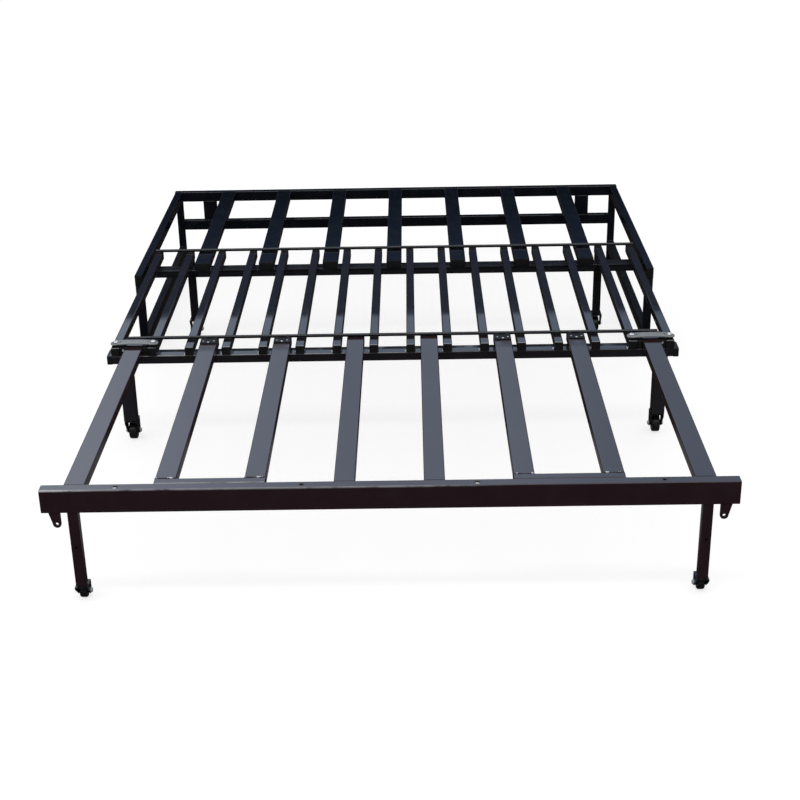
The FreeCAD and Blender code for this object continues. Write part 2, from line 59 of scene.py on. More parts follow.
class Wire:
    # one socket of a node tree; sums, differences and products on it become Math nodes
    def __init__(self, tree, socket=None):
        self.tree = tree
        self.socket = socket

    def plug(self, target, value):
        if isinstance(value, Wire):
            self.tree.links.new(value.socket, target)
        else:
            target.default_value = value

    def node(self, kind, settings=None, sockets=None, out=0):
        # any node: its type, the settings made first, then values or links for its sockets
        made = self.tree.nodes.new(kind)
        for name, value in (settings or {}).items():
            if name == "stops":
                for extra in value[2:]:
                    made.color_ramp.elements.new(extra[0])
                for element, (place, colour) in zip(made.color_ramp.elements, value):
                    element.position = place
                    element.color = colour
            else:
                setattr(made, name, value)
        for name, value in (sockets or {}).items():
            self.plug(made.inputs[name], value)
        return Wire(self.tree, made.outputs[out]) if made.outputs else made

    def math(self, operation, first, second):
        return self.node("ShaderNodeMath", {"operation": operation}, {0: first, 1: second})

    def __add__(self, other):
        return self.math("ADD", self, other)

    def __radd__(self, other):
        return self.math("ADD", other, self)

    def __sub__(self, other):
        return self.math("SUBTRACT", self, other)

    def __rsub__(self, other):
        return self.math("SUBTRACT", other, self)

    def __mul__(self, other):
        return self.math("MULTIPLY", self, other)

    def __rmul__(self, other):
        return self.math("MULTIPLY", other, self)


def newMaterial(name):
    made = bpy.data.materials.new(name)
    made.use_nodes = True
    made.node_tree.nodes.clear()
    return made, Wire(made.node_tree)


def objectSpot(wire):
    return wire.node("ShaderNodeTexCoord", out="Object")


def alongAxis(wire, spot, axis):
    return wire.node("ShaderNodeSeparateXYZ", None, {"Vector": spot}, out=axis)


def noise(wire, spot, scale, detail):
    return wire.node("ShaderNodeTexNoise", None, {"Vector": spot, "Scale": scale, "Detail": detail})


def ramp(wire, factor, low, high):
    # 0 below low, 1 above high
    return wire.node("ShaderNodeMapRange", {"interpolation_type": "SMOOTHSTEP"},
                     {"Value": factor, "From Min": low, "From Max": high})


def blend(wire, factor, first, second):
    # the third output of the Mix node is the colour
    return wire.node("ShaderNodeMix", {"data_type": "RGBA"}, {"Factor": factor, "A": first, "B": second}, out=2)


def stretched(wire, spot, scale):
    return wire.node("ShaderNodeMapping", None, {"Vector": spot, "Scale": scale})


def bumpOf(wire, height, strength, depth):
    return wire.node("ShaderNodeBump", None, {"Strength": strength, "Distance": depth, "Height": height})


def finishMaterial(wire, sockets):
    shader = wire.node("ShaderNodeBsdfPrincipled", None, sockets)
    wire.node("ShaderNodeOutputMaterial", None, {"Surface": shader})


# in every look a noise is its scale and detail, edges are where its mask starts and is full, and a bump is its
# strength and its depth in metres
paintLook = dict(warm=[(0.0180, 0.0088, 0.0112, 1), (0.0250, 0.0130, 0.0160, 1)],
                 mid=[(0.0095, 0.0080, 0.0102, 1), (0.0135, 0.0116, 0.0146, 1)],
                 cold=[(0.0032, 0.0040, 0.0068, 1), (0.0050, 0.0060, 0.0092, 1)],
                 dust=(0.06, 0.06, 0.062, 1), dustShare=0.06, cloud=(9.0, 4.0), speck=(26.0, 7.0),
                 edges=(0.40, 0.75), peel=(420.0, 2.0), bump=(0.10, 0.00004), rough=0.015, cloudRough=0.02,
                 dustRough=0.03, ior=1.5)


def coatOf(wire, spot, tint):
    # cloudy gloss, orange peel and a little settled dust: colour, roughness and bump
    look = paintLook
    cloud = noise(wire, spot, *look["cloud"])
    dust = ramp(wire, noise(wire, spot, *look["speck"]), *look["edges"])
    colour = blend(wire, look["dustShare"] * dust, blend(wire, cloud, *look[tint]), look["dust"])
    rough = look["rough"] + look["cloudRough"] * cloud + look["dustRough"] * dust
    return colour, rough, bumpOf(wire, noise(wire, spot, *look["peel"]), *look["bump"])


def makePaint(tint):
    # gloss black coat in its own tint for each section: warm at the front, bluer to the rear
    material, wire = newMaterial(tint + "Paint")
    colour, rough, bump = coatOf(wire, objectSpot(wire), tint)
    finishMaterial(wire, {"Base Color": colour, "Roughness": rough, "Normal": bump, "IOR": paintLook["ior"]})
    return material


# pale colour of the painted edge highlights and their streaks; dark matte colour of the painted shade
paintedLightLook = dict(colour=(0.60, 0.61, 0.63, 1), streaks=(26.0, 30.0, 60.0), streak=(1.0, 4.0), edges=(0.22, 0.52),
               paintedShade=(0.006, 0.006, 0.008, 1), paintedShadeRough=0.8, paintedShadeIor=1.1)
# where each tube gets a pale painted highlight along an edge, a rougher finish, or a dark matte painted shade;
# a limit is an axis and the two places in millimetres between which each mark comes up
railEdge = [("Y", -981.5, -984.2), ("Z", frontTop - 3.4, frontTop - 1.6)]
seamEdge = [("X", 100, -300), ("Z", frontTop - 2.2, frontTop - 1.0)]
paintedLightAndRoughZones = dict(
    # front rail: painted highlights along the top front edge, brightest to the left, and along the top rear edge
    front_rail=[dict(pale=0.42, dull=0.15, limits=[("X", -540, -645), *railEdge]),
                dict(pale=0.22, dull=0.10, limits=[("X", 240, 40), *railEdge]),
                dict(pale=0.40, dull=0.10, limits=[("Y", -963.8, -962.2), *seamEdge])],
    # strips: a painted highlight along the top front edge
    rail_strips=[dict(pale=0.40, dull=0.10, limits=[("Y", -958.2, -959.8), *seamEdge])],
    short_front_slats=[dict(dull=0.50, limits=[("Y", -330, -278)])],
    # middle rail: painted shade over the rear of the top, and a painted highlight along the top front edge
    middle_rail=[dict(dull=0.30, paintedShade=0.85, limits=[("Y", -267, -263)]),
                 dict(pale=0.30, dull=0.10, limits=[("X", 300, -200), ("Y", -283.4, -286.0),
                                                    ("Z", deck - 21.8, deck - 20.6)])],
    # cross rail: painted shade over the top and the upper front face
    cross_rail=[dict(dull=0.20, paintedShade=0.65, limits=[("Z", 216.0, 221.0)])],
    # lower side rails: painted shade over the top
    lower_side_rails=[dict(dull=0.20, paintedShade=0.70, limits=[("Z", 62.0, 66.0)])],
    # narrow slats: a painted highlight along the top front edge
    narrow_slats=[dict(pale=0.45, dull=0.10, limits=[("Y", -284.4, -286.6), ("Z", deck - 1.5, deck - 0.2)])])


def makePaintWithPaintedLight(node, tint):
    # the coat with pale painted highlights on edges, rougher spots, and a dark matte shader mixed in as painted
    # shade
    look = paintedLightLook
    material, wire = newMaterial(node + "Paint")
    spot = objectSpot(wire)
    colour, rough, bump = coatOf(wire, spot, tint)
    streak = ramp(wire, noise(wire, stretched(wire, spot, look["streaks"]), *look["streak"]), *look["edges"])
    pale, paintedShade = 0.0, 0.0
    for zone in paintedLightAndRoughZones[node]:
        mask = streak
        for axis, low, high in zone["limits"]:
            mask = mask * ramp(wire, alongAxis(wire, spot, axis), low * mm, high * mm)
        pale = pale + zone.get("pale", 0.0) * mask
        paintedShade = paintedShade + zone.get("paintedShade", 0.0) * mask
        rough = rough + zone["dull"] * mask
    shader = wire.node("ShaderNodeBsdfPrincipled", None,
                       {"Base Color": blend(wire, pale, colour, look["colour"]), "Roughness": rough,
                        "Normal": bump, "IOR": paintLook["ior"]})
    # the dark matte shader that paints shade wherever the mask mixes it in
    paintedShadeShader = wire.node("ShaderNodeBsdfPrincipled", None,
                     {"Base Color": look["paintedShade"], "Roughness": look["paintedShadeRough"], "IOR": look["paintedShadeIor"]})
    wire.node("ShaderNodeOutputMaterial", None,
              {"Surface": wire.node("ShaderNodeMixShader", None, {0: paintedShade, 1: shader, 2: paintedShadeShader})})
    return material


burntLook = dict(dark=(0.005, 0.005, 0.006, 1), pale=(0.022, 0.022, 0.025, 1), blister=(150.0, 6.0),
                 edges=(0.45, 0.70), bump=(0.4, 0.0003), rough=0.45, roughSpan=0.3, ior=1.25)


def makeBurntPaint():
    # paint dulled and blistered by the welding of the rod
    look = burntLook
    material, wire = newMaterial("burntPaint")
    blister = noise(wire, objectSpot(wire), *look["blister"])
    raised = ramp(wire, blister, *look["edges"])
    finishMaterial(wire, {"Base Color": blend(wire, raised, look["dark"], look["pale"]),
                          "Roughness": look["rough"] + look["roughSpan"] * blister,
                          "Normal": bumpOf(wire, blister, *look["bump"]), "IOR": look["ior"]})
    return material


plugLook = dict(dark=(0.0055, 0.0055, 0.0062, 1), pale=(0.0110, 0.0110, 0.0122, 1), cloud=(40.0, 3.0),
                grain=(1400.0, 3.0), bump=(0.25, 0.00015), rough=0.30, roughSpan=0.22, ior=1.36)


def makePlugPlastic():
    # moulded black plastic with a fine spark-eroded grain
    look = plugLook
    material, wire = newMaterial("plugPlastic")
    spot = objectSpot(wire)
    cloud = noise(wire, spot, *look["cloud"])
    finishMaterial(wire, {"Base Color": blend(wire, cloud, look["dark"], look["pale"]),
                          "Roughness": look["rough"] + look["roughSpan"] * cloud,
                          "Normal": bumpOf(wire, noise(wire, spot, *look["grain"]), *look["bump"]),
                          "IOR": look["ior"]})
    return material


strapLook = dict(dark=(0.10, 0.105, 0.105, 1), pale=(0.30, 0.31, 0.31, 1), cloud=(60.0, 4.0),
                 streaks=(18.0, 420.0, 420.0), streak=(1.0, 4.0), streakShare=0.5, cloudShare=0.5,
                 bump=(0.15, 0.0001), rough=0.38, roughSpan=0.2, metal=0.15, ior=1.45)


def makeStrapSteel():
    # dark grey strip steel, streaked along its length
    look = strapLook
    material, wire = newMaterial("strapSteel")
    spot = objectSpot(wire)
    streak = noise(wire, stretched(wire, spot, look["streaks"]), *look["streak"])
    cloud = noise(wire, spot, *look["cloud"])
    share = look["streakShare"] * streak + look["cloudShare"] * cloud
    finishMaterial(wire, {"Base Color": blend(wire, share, look["dark"], look["pale"]),
                          "Roughness": look["rough"] + look["roughSpan"] * cloud, "Metallic": look["metal"],
                          "Normal": bumpOf(wire, streak, *look["bump"]), "IOR": look["ior"]})
    return material


zincLook = dict(bright=(0.74, 0.76, 0.79, 1), dull=(0.42, 0.43, 0.44, 1), patch=(260.0, 4.0),
                grain=(1560.0, 2.0), bump=(0.2, 0.0001), rough=0.18, roughSpan=0.22, boltMetal=1.0, nutMetal=0.45)


def makeZinc(name, metal):
    # bright zinc plate, patchy and finely grained; less metallic on the nuts than on the bolts
    look = zincLook
    material, wire = newMaterial(name)
    spot = objectSpot(wire)
    patch = noise(wire, spot, *look["patch"])
    finishMaterial(wire, {"Base Color": blend(wire, patch, look["dull"], look["bright"]),
                          "Roughness": look["rough"] + look["roughSpan"] * patch, "Metallic": metal,
                          "Normal": bumpOf(wire, noise(wire, spot, *look["grain"]), *look["bump"])})
    return material


forkLook = dict(dark=(0.009, 0.009, 0.009, 1), pale=(0.110, 0.108, 0.104, 1), cloud=(90.0, 5.0),
                rub=(210.0, 5.0), edges=(0.60, 0.75), share=0.6, bump=(0.12, 0.0001), rough=0.22,
                roughSpan=0.2, ior=1.42)


def makeForkCoat():
    # thin black coat on pressed sheet, rubbed paler in places
    look = forkLook
    material, wire = newMaterial("forkCoat")
    spot = objectSpot(wire)
    cloud = noise(wire, spot, *look["cloud"])
    rubbed = ramp(wire, noise(wire, spot, *look["rub"]), *look["edges"])
    finishMaterial(wire, {"Base Color": blend(wire, look["share"] * rubbed, look["dark"], look["pale"]),
                          "Roughness": look["rough"] + look["roughSpan"] * cloud,
                          "Normal": bumpOf(wire, cloud, *look["bump"]), "IOR": look["ior"]})
    return material


wheelLook = dict(dark=(0.009, 0.009, 0.010, 1), scuff=(0.045, 0.043, 0.041, 1), patch=(170.0, 6.0),
                 edges=(0.55, 0.78), share=0.5, grain=(1100.0, 2.0), bump=(0.2, 0.0001), rough=0.30,
                 roughSpan=0.25, ior=1.46)


def makeWheelPlastic():
    # black moulded wheel, scuffed grey in small patches
    look = wheelLook
    material, wire = newMaterial("wheelPlastic")
    spot = objectSpot(wire)
    scuff = ramp(wire, noise(wire, spot, *look["patch"]), *look["edges"])
    finishMaterial(wire, {"Base Color": blend(wire, look["share"] * scuff, look["dark"], look["scuff"]),
                          "Roughness": look["rough"] + look["roughSpan"] * scuff,
                          "Normal": bumpOf(wire, noise(wire, spot, *look["grain"]), *look["bump"]),
                          "IOR": look["ior"]})
    return material


warmPaint, midPaint, coldPaint = (makePaint(tint) for tint in ("warm", "mid", "cold"))
plugPlastic = makePlugPlastic()
strapSteel = makeStrapSteel()
zinc, dullZinc = (makeZinc(name + "Zinc", zincLook[name + "Metal"]) for name in ("bolt", "nut"))
forkCoat = makeForkCoat()
wheelPlastic = makeWheelPlastic()
slotMaterials = dict(frame_paint=warmPaint, plug_plastic=plugPlastic, strap_steel=strapSteel,
                     fork_steel=forkCoat, wheel_plastic=wheelPlastic)
sectionPaints = dict(rear_frame=("cold", coldPaint), middle_section=("mid", midPaint),
                     front_section=("warm", warmPaint))
for subpart in frame["record"]["subparts"]:
    mesh = frame["nodes"][subpart["node"]].data
    mesh.materials.clear()
    mesh.materials.append(slotMaterials[subpart["material_slot"]])
for body, (tint, coat) in sectionPaints.items():
    for node in frame["record"]["behaviour"]["bodies"][body]:
        nodeMaterials = frame["nodes"][node].data.materials
        if nodeMaterials[0] == warmPaint:
            nodeMaterials[0] = makePaintWithPaintedLight(node, tint) if node in paintedLightAndRoughZones else coat
frame["nodes"]["rod_brackets"].data.materials[0] = makeBurntPaint()
print("finishes on the frame:", len(slotMaterials) + len(sectionPaints) + len(paintedLightAndRoughZones))

sharpEdge = math.radians(38)


def makePiece(name, grids, material, body, hooped=False):
    # each grid is copies x rings x points round x 3: rings close round, and both end rings get a flat cap;
    # a hoop has no caps, because its last ring runs on into its first
    points, quads, caps, start = [], [], [], 0
    for grid in grids:
        index = start + np.arange(grid[..., 0].size).reshape(grid.shape[:3])
        rows = np.concatenate([index, index[:, :1]], axis=1) if hooped else index
        beside = np.roll(rows, -1, axis=2)
        corners = [rows[:, :-1], beside[:, :-1], beside[:, 1:], rows[:, 1:]]
        quads += np.stack(corners, axis=-1).reshape(-1, 4).tolist()
        if not hooped:
            caps += index[:, 0, ::-1].tolist() + index[:, -1].tolist()
        points.append(grid.reshape(-1, 3))
        start += index.size
    mesh = bpy.data.meshes.new(name)
    mesh.from_pydata(np.concatenate(points), [], quads + caps)
    mesh.polygons.foreach_set("use_smooth", np.ones(len(mesh.polygons), dtype=bool))
    mesh.set_sharp_from_angle(angle=sharpEdge)
    mesh.materials.append(material)
    piece = bpy.data.objects.new(name, mesh)
    bpy.context.scene.collection.objects.link(piece)
    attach(piece, body)
    return piece


def spots(xs, y, z):
    # points in a row across the bed, given in millimetres
    xs = np.array(xs, float)
    return np.stack([xs, np.full(xs.shape, y), np.full(xs.shape, z)], axis=-1) * mm


def facing(direction, count):
    # the same right-handed axes for every copy, the third along the direction
    ahead = np.array(direction, float)
    side = np.array((0.0, 1.0, 0.0)) if ahead[0] else np.array((1.0, 0.0, 0.0))
    return np.repeat(np.stack([side, np.cross(ahead, side), ahead])[None], count, axis=0)


def setDown(shape, places, axes):
    # copies of one shape: each place plus the shape's three measures along that copy's own axes
    return places[:, None, None, :] + np.einsum("rac,kcd->krad", shape, axes)


def squared(angle, power):
    # how far a rounded square of half width 1 reaches in each direction; a higher power has sharper corners
    return (np.abs(np.cos(angle)) ** power + np.abs(np.sin(angle)) ** power) ** (-1 / power)


hexCorners = 6


def turned(profile, around):
    # a circle of the profile's radius at each height; the third column draws it in to a hexagon
    radius, height, edge = np.array(profile, float).T
    angle = np.linspace(0, fullTurn, around, endpoint=False)
    step = fullTurn / hexCorners
    polygon = math.cos(step / 2) / np.cos(angle % step - step / 2)
    reach = radius[:, None] * (1 + edge[:, None] * (polygon - 1))
    rise = np.repeat(height[:, None], around, axis=1)
    return np.stack([reach * np.cos(angle), reach * np.sin(angle), rise], axis=-1)


rodShape = dict(radius=4.0, around=24, rings=61, edge=1.2, draw=0.5, front=(615, -237, frontTop + 0.1),
                middle=(647.5, 396.5, deck + 0.1))


def crossRod(half, y, base):
    # a circle carried straight across the bed, drawn in a little at both ends
    at = rodShape
    along = -half * np.cos(np.linspace(0, math.pi, at["rings"]))
    past = np.maximum(np.abs(along) - (half - at["edge"]), 0)
    radius = (at["radius"] - at["draw"] * past ** 2)[:, None]
    angle = np.linspace(0, fullTurn, at["around"], endpoint=False)
    x = np.repeat(along[:, None], at["around"], axis=1)
    rise = base + at["radius"] + radius * np.sin(angle)
    return np.stack([x, y + radius * np.cos(angle), rise], axis=-1)[None] * mm


def makeRods():
    for label in ("front", "middle"):
        rod = makePiece(f"{label}_cross_rod", [crossRod(*rodShape[label])], coldPaint, f"{label}_section")
        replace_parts(rod, f"{label}_rod")


def upSeam(x, y, low, high):
    return (x, y, low), (x, y, high)


def acrossSeam(x, y, z, run):
    return (x - run, y, z), (x + run, y, z)


def alongSeam(x, y, z, run):
    return (x, y - run, z), (x, y + run, z)


def tubeSeams(x, y, z, half, run):
    # four seams round the end of a square tube
    return [seam for off in (-half, half)
            for seam in (acrossSeam(x, y + off, z, run), alongSeam(x + off, y, z, run))]


beadLook = dict(rings=15, around=7, ripple=3.2, depth=0.22, fewest=3, wander=0.18, sway=5, shift=0.9, draw=0.75,
                blunt=6, steep=0.9)


def beads(lines, radius):
    # a circle carried along each straight seam, its radius rippled like laid weld and drawn in at both ends
    at = beadLook
    lines = np.array(lines, float).reshape(-1, 2, 3)
    start, run = lines[:, 0], lines[:, 1] - lines[:, 0]
    length = np.linalg.norm(run, axis=1)
    ahead = run / length[:, None]
    steep = np.abs(ahead[:, 2:]) > at["steep"]
    side = np.cross(ahead, np.where(steep, (1.0, 0.0, 0.0), (0.0, 0.0, 1.0)))
    side /= np.linalg.norm(side, axis=1)[:, None]
    other = np.cross(ahead, side)
    along = np.linspace(0, 1, at["rings"])
    angle = np.linspace(0, fullTurn, at["around"], endpoint=False)
    waves = np.maximum(at["fewest"], np.round(length / at["ripple"]))[:, None]
    ripple = 1 - at["depth"] * np.abs(np.cos(math.pi * waves * along))
    taper = 1 - at["draw"] * np.abs(2 * along - 1) ** at["blunt"]
    wander = 1 + at["wander"] * np.sin(at["sway"] * along + at["shift"] * start.sum(axis=1)[:, None])
    reach = (radius * ripple * taper * wander)[:, :, None, None]
    ring = np.cos(angle)[:, None] * side[:, None, None, :] + np.sin(angle)[:, None] * other[:, None, None, :]
    return ((start[:, None] + run[:, None] * along[:, None])[:, :, None, :] + reach * ring) * mm


frontSeams = dict(rail=-961, strip=-941, half=20, foot=228, head=245, stripEnds=(235, 445),
                  leg=599, legMid=-973.5, railFoot=frontTop - 48, legHalf=10, legRun=9,
                  lug=631.5, lugFace=-982, lugRun=9.5,
                  rod=-237, rodSide=3.4, rodTop=plateTop + 0.3, rodSpots=(-13, 13), rodRun=5,
                  endTop=frontTop - 0.6, endRun=19, blobs=(-17, 12), blobTop=frontTop - 0.3, blobRun=(-4, 8),
                  slant=1, radius=1.7, lowRadius=1.2, endRadius=2.0)


def makeFrontWelds():
    # slats on the rail and strips, strips on the rail, legs and lugs under it, and the rod on its plates
    at = frontSeams
    high, low, ends = [], [], []
    for x in longSlats:
        high += [upSeam(edge, at["rail"], at["foot"], at["head"]) for edge in (x - at["half"], x + at["half"])]
    for x in shortSlats:
        low += [acrossSeam(x + off, y, at["rodTop"], at["rodRun"]) for off in at["rodSpots"]
                for y in (at["rod"] - at["rodSide"], at["rod"] + at["rodSide"])]
        high += [upSeam(edge, at["strip"], at["foot"], at["head"]) for edge in (x - at["half"], x + at["half"])]
        ends.append(acrossSeam(x, at["strip"], at["endTop"], at["endRun"]))
        high += [[(x + blob + run, at["strip"] + way * at["slant"], at["blobTop"])
                  for run, way in zip(at["blobRun"], (-1, 1))] for blob in at["blobs"]]
    for sign in (-1, 1):
        high += [upSeam(sign * x, at["rail"], at["foot"], at["head"]) for x in at["stripEnds"]]
        high += tubeSeams(sign * at["leg"], at["legMid"], at["railFoot"], at["legHalf"], at["legRun"])
        low.append(acrossSeam(sign * at["lug"], at["lugFace"], at["railFoot"], sign * at["lugRun"]))
    grids = [beads(high, at["radius"]), beads(low, at["lowRadius"]), beads(ends, at["endRadius"])]
    makePiece("front_welds", grids, warmPaint, "front_section")


middleSeams = dict(railMid=-268, railTop=226, half=10, run=16, leg=620, legTop=206, legHalf=15, legRun=13,
                   rearLeg=552.5, rearLegMid=382, rearHalf=10, rearRun=8,
                   rod=395.5, rodSide=3.4, rodTop=deck + 0.2, rodRun=8, radius=1.6, lowRadius=1.1)


def makeMiddleWelds():
    # narrow slats on the rail and under the rod, and the four legs
    at = middleSeams
    high, low = [], []
    for x in narrowSlats:
        high += [alongSeam(edge, at["railMid"], at["railTop"], at["run"])
                 for edge in (x - at["half"], x + at["half"])]
        low += [acrossSeam(x, y, at["rodTop"], at["rodRun"])
                for y in (at["rod"] - at["rodSide"], at["rod"] + at["rodSide"])]
    for sign in (-1, 1):
        high += tubeSeams(sign * at["leg"], at["railMid"], at["legTop"], at["legHalf"], at["legRun"])
        high += [acrossSeam(sign * at["rearLeg"], at["rearLegMid"] + off, at["railTop"], at["rearRun"])
                 for off in (-at["rearHalf"], at["rearHalf"])]
    grids = [beads(high, at["radius"]), beads(low, at["lowRadius"])]
    makePiece("middle_welds", grids, midPaint, "middle_section")


rearSeams = dict(inner=656, middle=666, tube=20, tubeRun=8, front=212, back=966, slatFoot=228, slatHead=244,
                 half=20, cross=322, crossHalf=20, crossTop=225.7, crossRun=17, endRun=18, crossFace=(208, 224),
                 railFoot=219, lower=(43, 69), lowerTop=71, railUnder=216,
                 midRail=(128, 154), midTop=156, upright=572, uprightRun=18, radius=1.8)


def makeRearWelds():
    # slats on the cross rail and back rail, the rails on the posts, and the uprights between the back rails
    at = rearSeams
    lines = []
    for x in rearSlats:
        for edge in (x - at["half"], x + at["half"]):
            lines.append(upSeam(edge, at["back"], at["slatFoot"], at["slatHead"]))
            lines.append(alongSeam(edge, at["cross"], at["crossTop"], at["crossRun"]))
    for sign in (-1, 1):
        x = sign * at["inner"]
        lines.append(upSeam(x, at["back"], at["railFoot"], at["slatHead"]))
        lines.append(alongSeam(x, at["cross"], at["crossTop"], at["endRun"]))
        lines.append(upSeam(x, at["cross"] - at["crossHalf"], *at["crossFace"]))
        for y in (at["front"] + at["tube"], at["back"]):
            lines.append(upSeam(x, y, *at["lower"]))
            lines += [acrossSeam(sign * at["middle"], y, z, sign * at["tubeRun"])
                      for z in (at["lowerTop"], at["railUnder"])]
        lines += [alongSeam(x, y + at["tube"] / 2, at["railUnder"], at["tubeRun"])
                  for y in (at["front"], at["back"])]
        for y in (at["back"], at["back"] + at["tube"]):
            lines.append(upSeam(x, y, *at["midRail"]))
            lines += [acrossSeam(sign * at["upright"], y, z, sign * at["uprightRun"])
                      for z in (at["midTop"], at["railUnder"])]
    makePiece("rear_welds", [beads(lines, at["radius"])], coldPaint, "rear_frame")


# places of the pale beads that paint glints of light on the welds
# runs are given by the short slat's middle, as places left and right of it
glintSeams = dict(runs={-425: [(-20, -16), (0, 15)], -255: [(-20, -17), (2, 16)], 255: [(-17, -12), (11, 18)],
                         425: [(-17, -9), (7, 13)]},
                   endY=-940.6, endTop=frontTop - 0.4, radius=2.5,
                   holeGlints=(-515, 165), holeGlintY=-979.6, holeGlintRun=4, holeGlintRadius=2.4,
                   side=11.8, sideMid=-277.75, sideRun=6.75, sideTop=226.2, sideRadius=2.2)


def makeGlintWelds():
    # pale zinc-coloured weld beads as painted glints of light: at the short slats' front ends, by two holes,
    # beside the narrow slats
    at = glintSeams
    ends = [[(x + place, at["endY"], at["endTop"]) for place in run]
            for x, runs in at["runs"].items() for run in runs]
    holeGlints = [acrossSeam(x, at["holeGlintY"], frontTop, at["holeGlintRun"]) for x in at["holeGlints"]]
    makePiece("front_glint_welds", [beads(ends, at["radius"]), beads(holeGlints, at["holeGlintRadius"])], dullZinc,
              "front_section")
    sides = [alongSeam(x - at["side"], at["sideMid"], at["sideTop"], at["sideRun"]) for x in narrowSlats]
    makePiece("middle_glint_welds", [beads(sides, at["sideRadius"])], dullZinc, "middle_section")


makeRods()
makeFrontWelds()
makeGlintWelds()
makeMiddleWelds()
makeRearWelds()
print("rods and weld beads laid")

# each kind is a list of insets and heights
plugShape = dict(around=60, square=16.0, clear=0.3,
                 head=[(0.7, 0.0), (0.1, 0.25), (0.0, 0.9), (0.35, 1.35), (1.4, 1.6), (4.0, 1.75), (7.5, 1.8)],
                 flush=[(0.9, -0.2), (0.4, 0.1), (0.5, 0.35), (1.2, 0.5), (4.0, 0.55), (7.5, 0.6)],
                 cap=[(-0.8, -10.0), (-1.2, -9.6), (-1.2, 0.6), (-0.7, 1.3), (0.8, 1.7), (4.0, 1.85),
                      (7.5, 1.9)],
                 guide=[(1.4, 0.0), (0.4, 0.3), (0.0, 1.2), (0.0, 60.0), (0.4, 60.9), (1.4, 61.2)])
outerSlat, guideOff = frontSlats[-1], 26.25
guideXs = [side * (outerSlat + off) for side in (-1, 1) for off in (-guideOff, guideOff)]
# for each piece its body, then row by row the x places, y, z, the plug's width, depth and kind, and its way out
plugRows = dict(
    middle_plug_heads=("middle_section", [(narrowSlats, -288, deck - 10, (20, 20, "head"), (0, -1, 0)),
                                          (narrowSlats, 399, deck - 10, (20, 20, "head"), (0, 1, 0)),
                                          ([-657], -268, deck - 30, (40, 20, "cap"), (-1, 0, 0)),
                                          ([657], -268, deck - 30, (40, 20, "cap"), (1, 0, 0))]),
    slat_guides=("middle_section", [(guideXs, -287.6, deck - 10.1, (11.9, 20, "guide"), (0, 1, 0))]),
    front_plug_heads=("front_section", [(frontSlats, -229, frontTop - 10, (40, 20, "head"), (0, 1, 0)),
                                        ([-657], -973.5, frontTop - 24, (25, 48, "flush"), (-1, 0, 0)),
                                        ([657], -973.5, frontTop - 24, (25, 48, "flush"), (1, 0, 0))]),
    rear_plug_heads=("rear_frame", [(rearSlats, 302, deck - 10.3, (40, 20, "head"), (0, -1, 0)),
                                    ([-666, 666], 212, deck - 15, (20, 30, "head"), (0, -1, 0)),
                                    ([-676], 976, deck - 15, (20, 30, "head"), (-1, 0, 0)),
                                    ([676], 976, deck - 15, (20, 30, "head"), (1, 0, 0))]))


def plugHead(width, depth, kind):
    # a rounded rectangle drawn in by each step's inset at its height: a pillow, a plate, a cap or a block
    inset, rise = np.array(plugShape[kind]).T
    angle = np.linspace(0, fullTurn, plugShape["around"], endpoint=False)
    reach = squared(angle, plugShape["square"])
    wide = width / 2 - plugShape["clear"] - inset[:, None]
    deep = depth / 2 - plugShape["clear"] - inset[:, None]
    height = np.repeat(rise[:, None], plugShape["around"], axis=1)
    return np.stack([wide * reach * np.cos(angle), deep * reach * np.sin(angle), height], axis=-1) * mm


def makePlugHeads():
    for name, (body, rows) in plugRows.items():
        grids = [setDown(plugHead(*size), spots(xs, y, z), facing(way, len(xs)))
                 for xs, y, z, size, way in rows]
        makePiece(name, grids, plugPlastic, body)


makePlugHeads()
print("plug heads fitted")

strapShape = dict(middle=595, half=55.0, y=-269.0, wide=26.0, plate=3.2, base=deck + 3.0, bow=3.4, rings=49,
                  around=32, square=5.0, least=0.4)
# a head's slot, reach and sink are its cross: half the width, half the length and the depth
boltShape = dict(spread=43.5, z=deck + 7.2, around=48, radius=6.2, rise=5.0, slot=0.75, reach=3.6, sink=1.9)
rivetShape = dict(spread=32.0, z=deck + 8.25, around=32, radius=2.3, rise=0.7, slot=0.5, reach=0.9, sink=0.3)
spacerShape = dict(around=36, profile=[(6.6, -0.1, 0), (7.0, 0.3, 0), (7.0, 2.8, 0), (6.6, 3.4, 0)])
screwShape = dict(y=-266, z=plateTop, around=40, radius=2.7, rise=1.5, slot=0.40, reach=1.6, sink=0.9)
sideScrew = dict(screwShape, y=-259, spacing=12.0, radius=1.9, rise=0.9, slot=0.30, reach=1.2, sink=0.6)
guideScrew = dict(screwShape, x=619.5, y=-287.5, z=deck - 6)
headSteps = dict(share=(0.96, 1.0, 0.97, 0.9, 0.8, 0.68, 0.56, 0.46, 0.37, 0.28, 0.19, 0.1), flat=0.82,
                 foot=-0.2, wall=4, end=6)


def panHead(at):
    # a dome over the head's radius, less a cross-shaped dip across its middle
    share = np.array(headSteps["share"])[:, None]
    angle = np.linspace(0, fullTurn, at["around"], endpoint=False)
    x, y = at["radius"] * share * np.cos(angle), at["radius"] * share * np.sin(angle)
    dome = at["rise"] * np.sqrt(1 - headSteps["flat"] * share ** 2)
    arms = [np.exp(-(a / at["slot"]) ** headSteps["wall"] - (b / at["reach"]) ** headSteps["end"])
            for a, b in ((x, y), (y, x))]
    rise = dome - at["sink"] * np.maximum(*arms)
    rise[0] = headSteps["foot"]
    return np.stack([x, y, rise], axis=-1) * mm


